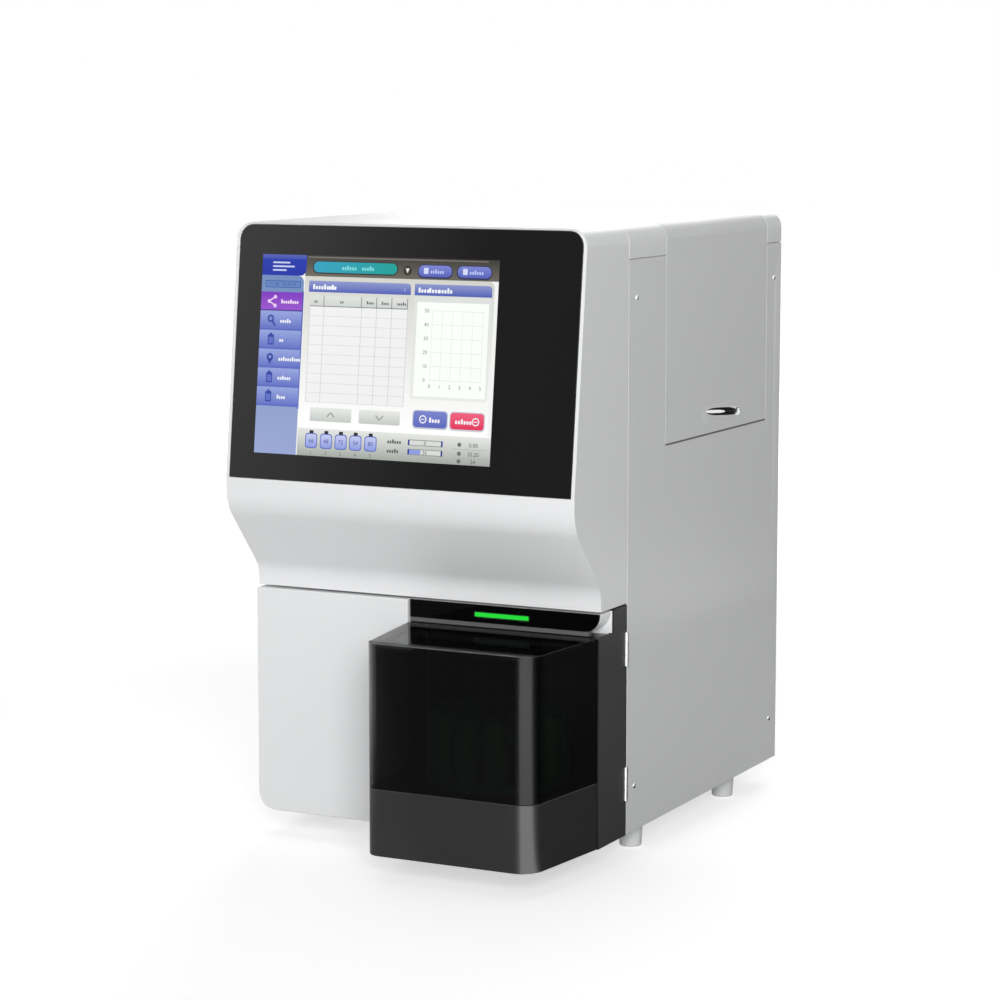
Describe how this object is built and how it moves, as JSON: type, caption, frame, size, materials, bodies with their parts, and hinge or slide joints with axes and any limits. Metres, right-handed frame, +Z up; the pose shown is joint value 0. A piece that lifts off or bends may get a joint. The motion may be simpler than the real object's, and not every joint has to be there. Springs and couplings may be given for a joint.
{
  "type": "glycated hemoglobin analyzer",
  "caption": "Upright bench-top blood analyzer with a tilted touch screen over an S-shaped chin, a smoked swing-out sampler cover with a tube carousel, and a lifting side flap.",
  "frame": {"origin": "on the bench, under the middle of the object's box", "axes": "+Z up, the screen and the sampler face -Y, and +X is the side with the flap"},
  "size_m": [0.3128, 0.4856, 0.5062],
  "materials": {
    "white_abs": "fine-textured moulded ABS, warm white",
    "white_paint": "white powder coat on sheet steel",
    "grey_paint": "pale grey powder coat on sheet steel",
    "grey_flap": "moulded flap painted to match the side panel",
    "black_glass": "cover glass, printed black on its back",
    "smoked_acrylic": "deep smoked acrylic, polished",
    "black_matte": "black moulded ABS with a fine grain",
    "black_gloss": "black gloss plastic",
    "green_light": "green diffusing light bar",
    "green_plastic": "green moulded polypropylene",
    "grey_plastic": "mid grey moulded plastic",
    "clear_glass": "clear borosilicate glass",
    "zinc_steel": "zinc-plated sheet steel",
    "stainless": "plain stainless steel",
    "chrome": "bright chrome plate",
    "aluminium": "plain anodised aluminium",
    "grey_rubber": "light grey moulded rubber"
  },
  "bodies": {
    "cabinet": {"arm_column": "aluminium", "cabinet_hinge_lower": "stainless", "cabinet_hinge_upper": "stainless", "carousel_motor": "black_matte", "chassis_frame": "zinc_steel", "column_oven": "aluminium", "data_ports": "zinc_steel", "detector_unit": "aluminium", "display_module": "grey_plastic", "eluent_pump": "aluminium", "fan_frame": "black_matte", "flap_hinge_rod": "stainless", "fluid_ports": "stainless", "foot_front_left": "grey_rubber", "foot_front_right": "grey_rubber", "foot_rear_left": "grey_rubber", "foot_rear_right": "grey_rubber", "front_housing": "white_abs", "injection_valve": "stainless", "inner_deck": "zinc_steel", "left_side_panel": "grey_paint", "light_bar": "green_light", "light_cover": "black_gloss", "lower_front_panel": "white_abs", "power_inlet": "black_matte", "power_supply": "aluminium", "rear_panel": "grey_paint", "right_side_panel": "grey_paint", "sampler_bay": "grey_plastic", "sampler_fascia": "white_abs", "separation_column": "stainless", "side_screw_left_front_high": "stainless", "side_screw_left_front_low": "stainless", "side_screw_left_rear_high": "stainless", "side_screw_left_rear_low": "stainless", "side_screw_right_front_high": "stainless", "side_screw_right_front_low": "stainless", "side_screw_right_rear_high": "stainless", "side_screw_right_rear_low": "stainless", "switch_frame": "black_matte", "syringe_barrel": "clear_glass", "top_cover": "white_paint", "touch_glass": "black_glass", "wash_station": "grey_plastic"},
    "sampler_door": {"door_frame": "black_matte", "smoked_cover": "smoked_acrylic", "door_base": "black_matte", "door_hinge_upper": "stainless", "door_hinge_lower": "stainless"},
    "flap": {"side_flap": "grey_flap", "flap_pull": "chrome"},
    "carousel": {"carousel_plate": "black_matte", "tube_holders": "green_plastic"},
    "lift_shaft": {"arm_shaft": "stainless"},
    "sampling_arm": {"sampler_arm": "grey_plastic", "sample_needle": "stainless"},
    "power_rocker": {"switch_rocker": "black_gloss"},
    "fan": {"fan_rotor": "black_matte"},
    "plunger": {"syringe_plunger": "stainless"}
  },
  "joints": [
    {"name": "door_swing", "type": "hinge", "parent": "cabinet", "child": "sampler_door", "pos_m": [0.1551, -0.09585, 0.1], "axis": [0, 0, 1], "range_deg": [0, 110]},
    {"name": "flap_lift", "type": "hinge", "parent": "cabinet", "child": "flap", "pos_m": [0.0748, 0.0862, 0.5039], "axis": [0, -1, 0], "range_deg": [0, 75]},
    {"name": "carousel_turn", "type": "hinge", "parent": "cabinet", "child": "carousel", "pos_m": [0.072, -0.1558, 0.066], "axis": [0, 0, 1], "continuous": true},
    {"name": "arm_lift", "type": "slide", "parent": "cabinet", "child": "lift_shaft", "axis": [0, 0, -1], "range_m": [0, 0.04]},
    {"name": "arm_swing", "type": "hinge", "parent": "lift_shaft", "child": "sampling_arm", "pos_m": [0.127, -0.0798, 0.169], "axis": [0, 0, -1], "range_deg": [0, 50]},
    {"name": "power_rocker_tip", "type": "hinge", "parent": "cabinet", "child": "power_rocker", "pos_m": [0.058, 0.2268, 0.072], "axis": [1, 0, 0], "range_deg": [0, 16]},
    {"name": "fan_spin", "type": "hinge", "parent": "cabinet", "child": "fan", "pos_m": [-0.08, 0.2162, 0.4], "axis": [0, 1, 0], "continuous": true},
    {"name": "plunger_slide", "type": "slide", "parent": "cabinet", "child": "plunger", "axis": [0, 0, 1], "range_m": [0, 0.025]}
  ]
}
